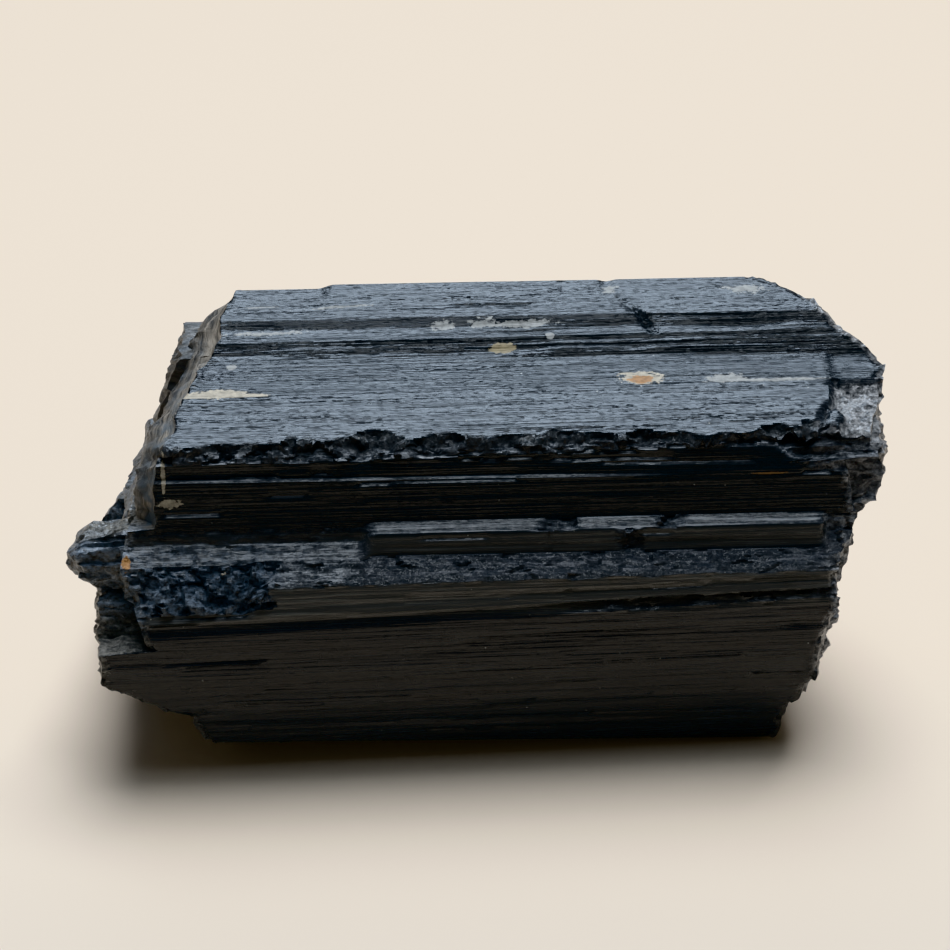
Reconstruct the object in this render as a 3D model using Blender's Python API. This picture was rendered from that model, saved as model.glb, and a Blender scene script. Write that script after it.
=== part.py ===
"""A black tourmaline (schorl) crystal lying on its long side, as one solid.

The crystal is a bundle of parallel columns grown together along X. Its sides are a loft of one
many-sided outline, with the ledges, grooves and chipped edges that run along it. Both ends are
broken across, and there each column stops at its own length.
"""
import math
import random

import bmesh
import bpy
import numpy as np
from mathutils import Vector, geometry, noise

MM = 0.001

# Outline of the crystal across its length, in millimetres, clockwise from the front of the base.
# Each corner is a line along the crystal: y and z at mid-length, then how far y and z drift for each
# millimetre of X, and how deep the striations are on the face that starts there.
CORNERS = (
    ("base front", -14.0, 1.8, 0.050, -0.060, 0.16),
    ("low ledge under", -16.3, 6.5, 0.025, -0.015, 0.0),
    ("low ledge", -16.0, 6.9, 0.025, -0.015, 0.14),
    ("front bulge", -16.7, 10.2, 0.020, 0.009, 0.12),
    ("groove foot", -16.95, 14.7, 0.020, 0.030, 0.0),
    ("groove bottom", -16.45, 15.4, 0.020, 0.022, 0.10),
    ("groove top", -16.9, 15.75, 0.020, 0.020, 0.08),
    ("front brow", -16.6, 17.8, 0.016, -0.005, 0.12),
    ("wide ledge", -14.8, 19.0, 0.005, -0.012, 0.05),
    ("strip edge", -14.75, 20.75, 0.005, -0.004, 0.05),
    ("strip back", -13.7, 21.0, 0.003, -0.004, 0.10),
    ("hairline ledge", -13.7, 24.7, 0.003, -0.012, 0.0),
    ("hairline back", -13.45, 24.85, 0.003, -0.012, 0.05),
    ("chipped band foot", -13.4, 26.6, 0.005, 0.012, 0.0),
    ("top front edge", -13.0, 27.6, 0.0, 0.005, 0.10),
    ("crease", -8.0, 28.95, 0.005, 0.006, 0.0),
    ("seam", -7.75, 28.6, 0.005, 0.006, 0.12),
    ("terrace", -3.5, 29.6, -0.025, 0.0, 0.0),
    ("lower riser", -3.25, 29.8, -0.021, 0.004, 0.0),
    ("lower tread", -3.0, 30.5, -0.019, 0.012, 0.08),
    ("upper riser", -1.15, 30.75, -0.043, 0.009, 0.0),
    ("upper tread", -0.9, 31.4, -0.041, 0.014, 0.10),
    ("top back edge", 3.4, 31.85, -0.025, 0.008, 0.14),
    ("shoulder", 6.2, 30.1, -0.015, 0.010, 0.20),
    ("back riser", 9.0, 28.3, -0.010, 0.0, 0.0),
    ("back tread", 9.2, 27.3, -0.010, 0.0, 0.22),
    ("back ledge", 12.2, 23.9, 0.0, 0.004, 0.0),
    ("back ledge edge", 13.5, 23.5, 0.0, 0.004, 0.22),
    ("back waist", 14.8, 18.3, 0.006, 0.0, 0.0),
    ("back waist foot", 14.3, 17.7, 0.006, 0.0, 0.20),
    ("back belly", 14.7, 11.8, 0.008, 0.010, 0.0),
    ("under step", 13.6, 11.2, 0.008, 0.010, 0.22),
    ("under slope", 11.9, 6.6, 0.0, -0.008, 0.0),
    ("under slope step", 10.9, 6.2, 0.0, -0.008, 0.20),
    ("base back", 7.4, 0.7, 0.0, 0.0, 0.0),
    ("base flat back", 6.8, 0.0, 0.0, 0.0, 0.0),
    ("base flat front", -7.4, 0.0, 0.0, 0.0, 0.0),
    ("base rise", -8.2, 0.6, 0.0, -0.010, 0.14),
)
NAMES = [corner[0] for corner in CORNERS]

# Chips along the top front edge: middle X, half length, depth. A negative depth stands proud.
EDGE_CHIPS = (
    (-13.5, 2.0, 0.4),
    (-8.2, 3.1, 2.2),
    (4.8, 1.6, 0.6),
    (9.4, 1.2, 0.4),
    (12.8, 2.2, 0.8),
    (20.3, 2.6, -0.6),
    (25.5, 2.4, 1.3),
)
STRIP_START = -8.8          # the raised strip along the front is broken off left of this X
CRUMBLED_END = -17.2        # left of this X the front brow has crumbled away
SLAB_START = -11.2          # a thin slab lies along the top back edge, right of this X
SLAB_THICK = 0.4
CUT_NOTCH = 10.2            # X of a small notch across the top back edge
RIDGE_WIDTH = (0.7, 1.5)    # striation ridges, narrowest and widest
STRIATION_SEED = 7

# X of the outlines that the sides run through. Beyond them the sides run out to the broken ends.
STATIONS = (-17.0, -15.2, -13.5, -12.0, -10.8, -9.8, -9.3, -8.8, -7.8, -6.8, -5.4, -3.0, 0.0, 2.8, 4.8,
            6.8, 9.4, 10.2, 11.0, 12.8, 15.0, 17.4, 19.5)
END_ROWS = 3
END_GRID = 1.15
WALL_INSET = 0.12           # half the width of the wall between two columns that end apart

# The broken ends: where each column stops. A column is its outline in the Y-Z plane, a point in it,
# the X at that point, how X changes with Y and with Z, and how far the column's core stands out
# beyond its skin. Later columns overrule earlier ones.
LEFT_COLUMNS = (
    ("core", ((-20, -2), (18, -2), (18, 36), (-20, 36)), (0, 15), -26.6, -0.03, 0.05, 0.4),
    ("back", ((3, 5), (18, 5), (18, 24), (6, 24)), (8, 16), -25.2, 0.2, 0.34, 0.5),
    ("back heel", ((5, -2), (18, -2), (18, 8), (8, 8)), (9, 4), -24.8, 0.1, -0.2, 0.5),
    ("dark column", ((-4, 12), (6, 12), (6.5, 20), (-2, 19)), (0, 16), -28.0, 0.3, 0.3, 0.0),
    ("mid terrace", ((-10, 19), (0, 19), (1, 30), (-9, 28)), (-4, 23.6), -24.4, 0.05, 0.46, 0.0),
    ("back column", ((0, 20), (8, 19), (12, 23.5), (5, 28.6), (-1.2, 28.6)), (3, 28), -22.8, 0.1, 0.32, 0.0),
    ("upper slab", ((-18, 21), (-9.5, 21.2), (-6.5, 26), (-1, 28.6), (5, 28.6), (12, 23.5), (18, 23.5),
                    (18, 36), (-18, 36)), (-13, 27.4), -23.4, 0.275, 0.13, 2.3),
    ("lower body", ((-20, 9.8), (-4, 9.2), (-3, 15.2), (-14.5, 15.6), (-15.2, 13.0), (-20, 12.8)),
     (-14, 11.5), -28.75, -0.03, 0.0, 0.3),
    ("front slab", ((-20, 12.8), (-15.2, 13.0), (-14.6, 16.5), (-15.5, 21.2), (-20, 21.2)),
     (-16.5, 17.5), -25.9, -0.1, -0.2, 0.0),
    ("ledge", ((-15.6, 16.4), (-8.4, 15.8), (-8.4, 21.2), (-15.6, 21.2)), (-13, 19), -26.6, 0.05, 0.1, 0.3),
    ("undercut", ((-20, 6.9), (-2, 5.9), (-4, 9.2), (-20, 9.8)), (-16, 8.0), -25.5, 0.05, -1.7, 0.3),
    ("foot", ((-20, -2), (5, -2), (4, 3.9), (-2, 5.9), (-20, 6.9)), (-12, 3.5), -21.5, -0.05, -0.4, 0.4),
)
RIGHT_COLUMNS = (
    ("core", ((-20, -2), (18, -2), (18, 36), (-20, 36)), (0, 15), 25.4, -0.08, 0.06, 0.2),
    ("back", ((5, 8), (18, 8), (18, 26), (4, 26)), (10, 16), 22.6, -0.14, 0.05, 0.6),
    ("back slant", ((-4.9, 20.5), (2, 17), (4.5, 20), (5, 36), (-5.2, 36)), (-5, 28), 30.2, -0.55, 0.06, 0.3),
    ("back top", ((4.5, 20), (13, 22), (12, 36), (4.6, 36)), (8, 27), 20.8, -0.05, 0.1, 0.5),
    ("top block", ((-18, 21.1), (-4.9, 20.5), (-5.2, 36), (-18, 36)), (-6, 27), 29.9, 0.13, 0.05, 0.2),
    ("front face", ((-18, 21.1), (-12.2, 21.1), (-11.6, 25.4), (-18, 25.2)), (-13.4, 23), 26.9, 0.1, -0.08,
     0.0),
    ("edge notch", ((-18, 25.4), (-12.9, 25.8), (-11.6, 26.8), (-8.4, 27.6), (-8.2, 36), (-18, 36)),
     (-10, 28), 29.2, 0.28, 0.1, 0.0),
    ("top slant", ((-6.2, 28.9), (0.6, 29.6), (0.6, 36), (-6.2, 36)), (-3.65, 30.5), 28.25, -0.45, -0.9, 0.0),
    ("top corner", ((0.6, 29.6), (6, 29.6), (6, 36), (0.6, 36)), (0.6, 32.1), 24.9, -1.4, 0.0, 0.0),
    ("middle", ((-12.5, 16.5), (-3, 14), (-1, 19), (-4.9, 20.5), (-12, 21.1)), (-10, 19.5), 28.2, 0.1, 0.25,
     0.0),
    ("ledge", ((-18, 16.6), (-12.5, 16.5), (-12, 21.1), (-18, 21.1)), (-14.5, 19), 27.1, 0.25, 0.1, 0.0),
    ("front slab", ((-20, 12.6), (-14.4, 12.6), (-14.2, 18.9), (-20, 18.9)), (-17, 15), 26.0, 0.15, 0.1, 0.0),
    ("lower front", ((-20, 5.0), (-12.0, 5.0), (-12.0, 12.6), (-20, 12.6)), (-16.5, 9), 24.8, 0.3, 0.25, 0.2),
    ("foot", ((-20, -2), (8, -2), (6, 5.0), (-20, 5.0)), (-13, 2), 23.0, 0.05, 0.2, 0.4),
)
KNOB_CENTRE = (-11.7, 18.0)  # Y and Z of a rough knob that sticks out of the left end
KNOB_RADII = (2.7, 2.35)
KNOB_TIP = -30.7
KNOB_DOME = 1.5              # how much the knob's tip is rounded towards its rim
SKIN = 2.2                   # how deep a column's skin is, before its core stands out in full
END_ROUGH = 0.55             # relief of the broken ends


def ramp(x, start, width):
    """0 before start, 1 after start + width, smooth between."""
    t = min(1.0, max(0.0, (x - start) / width))
    return t * t * (3 - 2 * t)


def bump(x, middle, half):
    """1 at the middle, 0 beyond half each way."""
    t = abs(x - middle) / half
    return 0.0 if t >= 1 else (1 - t * t) ** 2


def section(x):
    """The outline's corners at one X, as an array of (y, z)."""
    at = {name: [y + dy * x, z + dz * x] for name, y, z, dy, dz, _ in CORNERS}
    chip = sum(depth * bump(x, middle, half) for middle, half, depth in EDGE_CHIPS)
    at["top front edge"][0] += chip
    at["top front edge"][1] += 0.27 * chip
    at["chipped band foot"][0] += 0.15 * max(chip, 0)
    at["chipped band foot"][1] -= 0.25 * abs(chip)
    bare = 1 - ramp(x, STRIP_START - 0.9, 0.9)
    at["strip edge"][0] += 0.72 * bare
    at["strip edge"][1] -= 0.75 * bare
    at["strip back"][1] -= 0.15 * bare
    at["wide ledge"][0] -= 0.25 * bare
    at["wide ledge"][1] -= 0.1 * bare
    crumbled = 1 - ramp(x, CRUMBLED_END - 0.6, 1.2)
    at["front brow"][0] += 0.35 * crumbled
    at["front brow"][1] -= 1.25 * crumbled
    at["wide ledge"][1] -= 0.35 * crumbled
    slab = ramp(x, SLAB_START - 0.3, 0.6) - 0.8 * bump(x, CUT_NOTCH, 0.9)
    at["top back edge"][1] += SLAB_THICK * slab
    return np.array([at[name] for name in NAMES])


def ridges():
    """The striations: every line of the outline as (corner before it, share of the way to the next
    corner, how far it stands out). The corners themselves stand out by nothing."""
    rng = random.Random(STRIATION_SEED)
    middle = section(0.0)
    lines = []
    for k in range(len(CORNERS)):
        lines.append((k, 0.0, 0.0))
        depth = CORNERS[k][5]
        length = float(np.linalg.norm(middle[(k + 1) % len(CORNERS)] - middle[k]))
        at, side = rng.uniform(*RIDGE_WIDTH), 1.0
        while depth and at < length - 0.45:
            lines.append((k, at / length, side * depth * rng.uniform(0.45, 1.0)))
            at += rng.uniform(*RIDGE_WIDTH)
            side = -side if rng.random() < 0.8 else side
    return lines


def outline(lines, x):
    """The outline at one X, or at one X for each line, with its striations: an array of (y, z)."""
    xs = x if hasattr(x, "__len__") else [x] * len(lines)
    at = {round(value, 3): section(value) for value in set(xs)}
    points = np.empty((len(lines), 2))
    for i, ((k, share, out), value) in enumerate(zip(lines, xs)):
        corners = at[round(value, 3)]
        first, second = corners[k], corners[(k + 1) % len(corners)]
        along = second - first
        normal = np.array([-along[1], along[0]]) / max(1e-6, float(np.hypot(*along)))
        wander = 1 + 0.5 * noise.noise(Vector((value * 0.09, k + share * 3.0, 4.5)))
        points[i] = first + along * share + normal * out * wander
    return points


def is_inside(polygon, y, z):
    """Whether (y, z) lies inside a polygon."""
    inside = False
    for (y0, z0), (y1, z1) in zip(polygon, polygon[1:] + polygon[:1]):
        if (z0 > z) != (z1 > z) and y < y0 + (y1 - y0) * (z - z0) / (z1 - z0):
            inside = not inside
    return inside


def column_at(columns, y, z):
    """The column that (y, z) belongs to."""
    for column in reversed(columns):
        if is_inside(column[1], y, z):
            return column
    return columns[0]


def knob_share(y, z):
    """0 at the knob's middle, 1 at its rim, more outside."""
    return math.hypot((y - KNOB_CENTRE[0]) / KNOB_RADII[0], (z - KNOB_CENTRE[1]) / KNOB_RADII[1])


def end_height(columns, y, z, depth=0.0):
    """X of the broken end at (y, z), which lies this deep below the crystal's sides."""
    _, _, (y0, z0), x0, by_y, by_z, core = column_at(columns, y, z)
    height = x0 + by_y * (y - y0) + by_z * (z - z0) + math.copysign(core * ramp(depth, 0, SKIN), x0)
    if columns is LEFT_COLUMNS and knob_share(y, z) < 1:
        height = KNOB_TIP + KNOB_DOME * knob_share(y, z) ** 4
    rough = noise.noise(Vector((y * 0.32, z * 0.32, x0))) + 0.5 * noise.noise(Vector((y * 0.8, z * 0.8, x0 + 9)))
    return height - math.copysign(END_ROUGH * (0.5 + rough), x0)


def wall_points(columns):
    """Pairs of points (y, z) along the walls between columns that end apart, one on each side."""
    pairs = []
    for _, polygon, *_ in columns:
        for (y0, z0), (y1, z1) in zip(polygon, polygon[1:] + polygon[:1]):
            length = math.hypot(y1 - y0, z1 - z0)
            off_y, off_z = WALL_INSET * (z1 - z0) / length, WALL_INSET * (y0 - y1) / length
            steps = max(1, round(length / END_GRID))
            for i in range(steps):
                y = y0 + (y1 - y0) * (i + 0.5) / steps
                z = z0 + (z1 - z0) * (i + 0.5) / steps
                near, far = (y + off_y, z + off_z), (y - off_y, z - off_z)
                if column_at(columns, *near) is not column_at(columns, *far):
                    pairs += [near, far]
    return pairs


def side_rows(lines):
    """The sides as rows of points from the left end to the right one, all rows equally long."""
    ends = []
    for columns, start in ((LEFT_COLUMNS, STATIONS[0]), (RIGHT_COLUMNS, STATIONS[-1])):
        reach = [end_height(columns, y, z) for y, z in outline(lines, start)]
        ends.append([end_height(columns, y, z) for y, z in outline(lines, reach)])
    rows = []
    for i in range(END_ROWS):
        rows.append([end + (STATIONS[0] - end) * i / END_ROWS for end in ends[0]])
    rows += [[x] * len(lines) for x in STATIONS]
    for i in range(1, END_ROWS + 1):
        rows.append([STATIONS[-1] + (end - STATIONS[-1]) * i / END_ROWS for end in ends[1]])
    return [[(x, y, z) for x, (y, z) in zip(row, outline(lines, row))] for row in rows]


def gap_to(ring, y, z):
    """How far (y, z) lies from a closed ring of points given as an array."""
    step = np.roll(ring, -1, axis=0) - ring
    away = np.array([y, z]) - ring
    share = np.clip((away * step).sum(axis=1) / (step * step).sum(axis=1), 0, 1)
    return float(np.hypot(*(away - step * share[:, None]).T).min())


def well_inside(rim, places, gap):
    """Those of some places (y, z) that lie inside the rim by more than a gap."""
    flat = [(y, z) for _, y, z in rim]
    ring = np.array(flat)
    return [place for place in places if is_inside(flat, *place) and gap_to(ring, *place) > gap]


def end_cap(columns, rim):
    """Points and triangles that close one end, which may run over the rim's own points."""
    walls = well_inside(rim, wall_points(columns), END_GRID * 0.3)
    grid = [(y, z) for y in np.arange(-20, 18, END_GRID) for z in np.arange(-1, 35, END_GRID)]
    grid = [place for place in well_inside(rim, grid, END_GRID * 0.45)
            if min(math.dist(place, wall) for wall in walls) > END_GRID * 0.6]
    flat = [Vector((y, z)) for _, y, z in rim]
    inner = walls + grid
    inner = [Vector(place) for place in inner]
    loop = [list(range(len(flat)))]
    found, _, faces, sources, *_ = geometry.delaunay_2d_cdt(flat + inner, [], loop, 1, 1e-4)
    ring = np.array(flat)
    points = []
    for place, source in zip(found, sources):
        first = min(source) if source else len(flat)
        height = end_height(columns, *place, gap_to(ring, *place))
        points.append(rim[first] if first < len(flat) else (height, *place))
    return points, faces


def crystal_points():
    """Points in millimetres and faces of the whole crystal."""
    lines = ridges()
    rows = side_rows(lines)
    count = len(lines)
    points = [point for row in rows for point in row]
    faces = []
    for r in range(len(rows) - 1):
        for i in range(count):
            j = (i + 1) % count
            a, b, c, d = r * count + i, r * count + j, (r + 1) * count + j, (r + 1) * count + i
            faces += [(a, b, c), (a, c, d)]
    for columns, rim in ((LEFT_COLUMNS, rows[0]), (RIGHT_COLUMNS, rows[-1])):
        cap_points, cap_faces = end_cap(columns, rim)
        start = len(points)
        points += cap_points
        faces += [tuple(start + v for v in face) for face in cap_faces]
    return np.array(points), faces


def crystal_mesh():
    """The whole crystal as a mesh in metres, standing on the middle of its base."""
    points, faces = crystal_points()
    low, high = points.min(axis=0), points.max(axis=0)
    points -= [(low[0] + high[0]) / 2, (low[1] + high[1]) / 2, low[2]]
    mesh = bpy.data.meshes.new("tourmaline_crystal")
    mesh.from_pydata((points * MM).tolist(), [], faces, shade_flat=False)
    shape = bmesh.new()
    shape.from_mesh(mesh)
    bmesh.ops.remove_doubles(shape, verts=shape.verts, dist=0.02 * MM)
    bmesh.ops.recalc_face_normals(shape, faces=shape.faces)
    shape.to_mesh(mesh)
    shape.free()
    mesh.set_sharp_from_angle(angle=math.radians(15))
    return mesh


def black_schorl():
    """Near black, with the dull gloss of a striated face."""
    material = bpy.data.materials.new("black schorl")
    material.use_nodes = True
    shader = material.node_tree.nodes["Principled BSDF"]
    shader.inputs["Base Color"].default_value = (0.012, 0.013, 0.016, 1)
    shader.inputs["Roughness"].default_value = 0.38
    shader.inputs["Metallic"].default_value = 0.0
    return material


def main():
    for old in list(bpy.data.objects):
        bpy.data.objects.remove(old)
    collection = bpy.data.collections.new("tourmaline")
    bpy.context.scene.collection.children.link(collection)
    mesh = crystal_mesh()
    mesh.materials.append(black_schorl())
    crystal = bpy.data.objects.new("tourmaline_crystal", mesh)
    collection.objects.link(crystal)


main()
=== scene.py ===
# %% [markdown]
# # A rough black tourmaline crystal
# Black tourmaline, or schorl, grows as a bundle of long columns. Its sides carry fine ridges that all
# run one way, and where it is broken across, each column stops at its own length. This lesson builds
# such a piece, lying on its side, as one closed mesh, and gives it a stone's surface made of nodes.
# The lengths in the tables are millimetres; the mesh is made in metres.

import math
import random

import bmesh
import bpy
import numpy as np
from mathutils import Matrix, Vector, geometry, noise


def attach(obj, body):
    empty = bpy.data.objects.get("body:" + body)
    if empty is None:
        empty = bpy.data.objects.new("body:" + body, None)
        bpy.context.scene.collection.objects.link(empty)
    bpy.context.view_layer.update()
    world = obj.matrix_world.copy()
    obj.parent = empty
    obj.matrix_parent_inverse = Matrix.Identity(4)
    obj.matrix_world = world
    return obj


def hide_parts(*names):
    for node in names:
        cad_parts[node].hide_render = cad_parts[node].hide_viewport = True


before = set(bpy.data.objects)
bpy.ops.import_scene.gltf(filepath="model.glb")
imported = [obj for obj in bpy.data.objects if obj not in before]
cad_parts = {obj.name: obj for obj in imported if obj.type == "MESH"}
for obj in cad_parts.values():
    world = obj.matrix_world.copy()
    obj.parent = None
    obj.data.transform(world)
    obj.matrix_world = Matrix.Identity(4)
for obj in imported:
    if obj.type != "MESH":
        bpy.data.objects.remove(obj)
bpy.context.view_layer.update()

# %% [markdown]
# ## The outline across the crystal
# The shape is a loft: one many-sided outline is carried along X. Every corner of it is a line along the
# crystal, such as the foot of a ledge. A table of corners, each with a slow drift along X, holds the
# whole cross-section and stays readable, which a sculpted mesh wouldn't.

# %% Corners of the outline, clockwise from the front of the base
# Name, y and z at mid-length, drift of y and z for each millimetre of X, and the spacing of the mesh
# lines on the face that starts there.
MM = 0.001
CORNERS = (
    ("base front", -14.0, 1.8, 0.050, -0.060, 0.22),
    ("low ledge under", -15.85, 6.6, 0.025, -0.015, 0.20),
    ("low ledge", -16.0, 6.9, 0.025, -0.015, 0.19),
    ("front bulge", -16.7, 10.2, 0.020, 0.009, 0.19),
    ("groove foot", -16.95, 14.7, 0.020, 0.030, 0.14),
    ("groove bottom", -16.45, 15.4, 0.020, 0.022, 0.12),
    ("groove top", -16.9, 15.75, 0.020, 0.020, 0.15),
    ("front brow", -16.6, 17.8, 0.016, -0.005, 0.13),
    ("wide ledge", -14.8, 19.0, 0.005, -0.012, 0.14),
    ("strip edge", -14.55, 20.75, 0.005, -0.004, 0.11),
    ("strip back", -13.7, 21.25, 0.003, -0.004, 0.16),
    ("hairline ledge", -13.7, 24.7, 0.003, -0.012, 0.10),
    ("hairline back", -13.45, 24.85, 0.003, -0.012, 0.15),
    ("chipped band foot", -13.4, 26.6, 0.005, 0.012, 0.12),
    ("top front edge", -13.0, 27.6, 0.0, 0.005, 0.15),
    ("crease", -8.0, 28.95, 0.005, 0.006, 0.12),
    ("seam", -7.75, 28.85, 0.005, 0.006, 0.16),
    ("terrace", -4.05, 29.56, -0.025, 0.0, 0.11),
    ("lower riser", -3.60, 29.75, -0.023, 0.004, 0.11),
    ("lower tread", -2.65, 30.5, -0.019, 0.012, 0.14),
    ("upper riser", -1.45, 30.72, -0.043, 0.009, 0.11),
    ("upper tread", -0.68, 31.35, -0.041, 0.014, 0.16),
    ("top back edge", 3.4, 31.85, -0.025, 0.008, 0.36),
    ("shoulder", 6.2, 30.1, -0.015, 0.010, 0.42),
    ("back riser", 9.0, 28.3, -0.010, 0.0, 0.34),
    ("back tread", 9.2, 27.3, -0.010, 0.0, 0.42),
    ("back ledge", 12.2, 23.9, 0.0, 0.004, 0.42),
    ("back ledge edge", 13.5, 23.5, 0.0, 0.004, 0.42),
    ("back waist", 14.8, 18.3, 0.006, 0.0, 0.36),
    ("back waist foot", 14.3, 17.7, 0.006, 0.0, 0.42),
    ("back belly", 14.7, 11.8, 0.008, 0.010, 0.40),
    ("under step", 13.6, 11.2, 0.008, 0.010, 0.42),
    ("under slope", 11.9, 6.6, 0.0, -0.008, 0.40),
    ("under slope step", 10.9, 6.2, 0.0, -0.008, 0.42),
    ("base back", 7.4, 0.7, 0.0, 0.0, 0.42),
    ("base flat back", 6.8, 0.0, 0.0, 0.0, 1.50),
    ("base flat front", -7.4, 0.0, 0.0, 0.0, 0.42),
    ("base rise", -8.2, 0.6, 0.0, -0.010, 0.40),
)
NAMES = [corner[0] for corner in CORNERS]
TABLE = np.array([corner[1:] for corner in CORNERS])
TURNS = len(CORNERS)
print(TURNS, "corners")

# %% [markdown]
# ## Chips, the broken strip and the thin slab
# The upper front edge is chipped all along, with one deep pit left of the middle, and right of that a
# strip stands proud of the ledge below. These are moves of single corners, each switched on over a short
# stretch of X by a smooth ramp or a hump.

# %% Moves of single corners along X
EDGE_CHIPS = (
    (-13.5, 2.0, 0.3),
    (-8.2, 3.3, 1.15),
    (-2.0, 2.6, 0.45),
    (5.2, 1.5, 0.4),
    (11.3, 1.6, 0.35),
    (16.0, 2.0, -0.45),
    (18.6, 1.8, -0.3),
    (21.0, 1.6, 0.5),
    (23.8, 2.2, 0.7),
)
STRIP_ENDS = ((-9.2, 1.2), (24.5, 1.6))
CRUMBLED_END = -17.2
SLAB_START = -11.2
SLAB_THICK = 0.34
CUT_NOTCH = 10.2


def ramp(x, start, width):
    """0 before start, 1 after start + width, smooth between."""
    t = np.clip((x - start) / width, 0.0, 1.0)
    return t * t * (3 - 2 * t)


def hump(x, middle, half):
    """1 at the middle, 0 beyond half each way."""
    t = np.minimum(np.abs(x - middle) / half, 1.0)
    return (1 - t * t) ** 2


def wobble(x, seed, pitch, octaves=3):
    """A smooth random line along X, about -1 to 1, whose waves are a pitch long."""
    grid = np.arange(-34.0, 34.0, pitch / 10)
    line = [noise.fractal(Vector((g / pitch, seed, 0.5)), 1.0, 2.0, octaves) for g in grid]
    return np.interp(x, grid, line)


def corner_moves(x):
    """Which corners move at X, and by how much: (name, move in y, move in z)."""
    chip = sum(depth * hump(x, middle, half) for middle, half, depth in EDGE_CHIPS)
    bare = 1 - ramp(x, *STRIP_ENDS[0]) + ramp(x, *STRIP_ENDS[1])
    crumbled = 1 - ramp(x, CRUMBLED_END - 0.6, 1.2)
    slab = ramp(x, SLAB_START - 0.7, 1.4) - 0.45 * hump(x, CUT_NOTCH, 0.8)
    shallow = 1 - ramp(x, 2.0, 7.0)
    hairline = 0.24 * ramp(x, 2.0, 16.0)
    return (
        ("top front edge", np.minimum(chip, 0), 0.27 * np.minimum(chip, 0)),
        ("chipped band foot", 0.15 * np.maximum(chip, 0), -0.25 * np.abs(chip) - 0.15 * wobble(x, 3.1, 2.6)),
        ("strip edge", 0.68 * bare + 0.06 * wobble(x, 5.2, 1.8), -0.95 * bare),
        ("strip back", 0.0, -0.30 * bare),
        ("hairline back", -hairline, 0.0),
        ("wide ledge", -0.25 * bare, -0.1 * bare - 0.35 * crumbled),
        ("groove bottom", -0.30 * shallow, 0.0),
        ("front brow", 0.35 * crumbled, -1.25 * crumbled + 0.12 * wobble(x, 1.9, 2.2)),
        ("upper tread", 0.10 * wobble(x, 6.6, 1.6), 0.0),
        ("upper riser", 0.0, 0.16 * wobble(x, 9.9, 5.0)),
        ("lower tread", 0.08 * wobble(x, 8.1, 1.4), 0.0),
        ("lower riser", 0.0, 0.22 * ramp(x, 2.0, 5.0) + 0.12 * wobble(x, 2.2, 4.0)),
        ("top back edge", 0.0, SLAB_THICK * slab),
    )


def corner_at(number, x):
    """Where corners are at X, as y and z; number and x are arrays of one shape."""
    y = TABLE[number, 0] + TABLE[number, 2] * x
    z = TABLE[number, 1] + TABLE[number, 3] * x
    for name, move_y, move_z in corner_moves(x):
        here = number == NAMES.index(name)
        y = y + here * move_y
        z = z + here * move_z
    return y, z


print("pit at mid-length:", corner_at(np.array([14]), np.array([-8.2])))

# %% [markdown]
# ## Lines of the mesh
# The mesh is a net of lines along the crystal, crossed by rows. The faces that carry fine ridges get
# lines an eighth of a millimetre apart, and the plain underside and back get far fewer, because a mesh
# should spend its points where there is something to show.

# %% Lines round the outline
def plain_corners():
    """Corners at mid-length, with the strip and the thin slab, and no chips."""
    y, z = TABLE[:, 0].copy(), TABLE[:, 1].copy()
    z[NAMES.index("top back edge")] += SLAB_THICK
    return y, z


plain_y, plain_z = plain_corners()
widths = np.hypot(np.roll(plain_y, -1) - plain_y, np.roll(plain_z, -1) - plain_z)
line_face, line_share = [], []
for face, width in enumerate(widths):
    count = max(1, round(width / CORNERS[face][5]))
    line_face += [face] * count
    line_share += [i / count for i in range(count)]
line_face, line_share = np.array(line_face), np.array(line_share)
LINES = len(line_face)
print(LINES, "lines along the crystal")

# %% [markdown]
# ## Where the columns stop
# At each end the crystal is broken across. A table lists its columns as outlines in the Y-Z plane, each
# with the height at which it broke, and slopes. Later columns overrule earlier ones, so that a few rough
# polygons make a staircase of breaks. The solid was made from the same columns, apart from the middle
# terrace at the left and the top block at the right, which are refined here.

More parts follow.
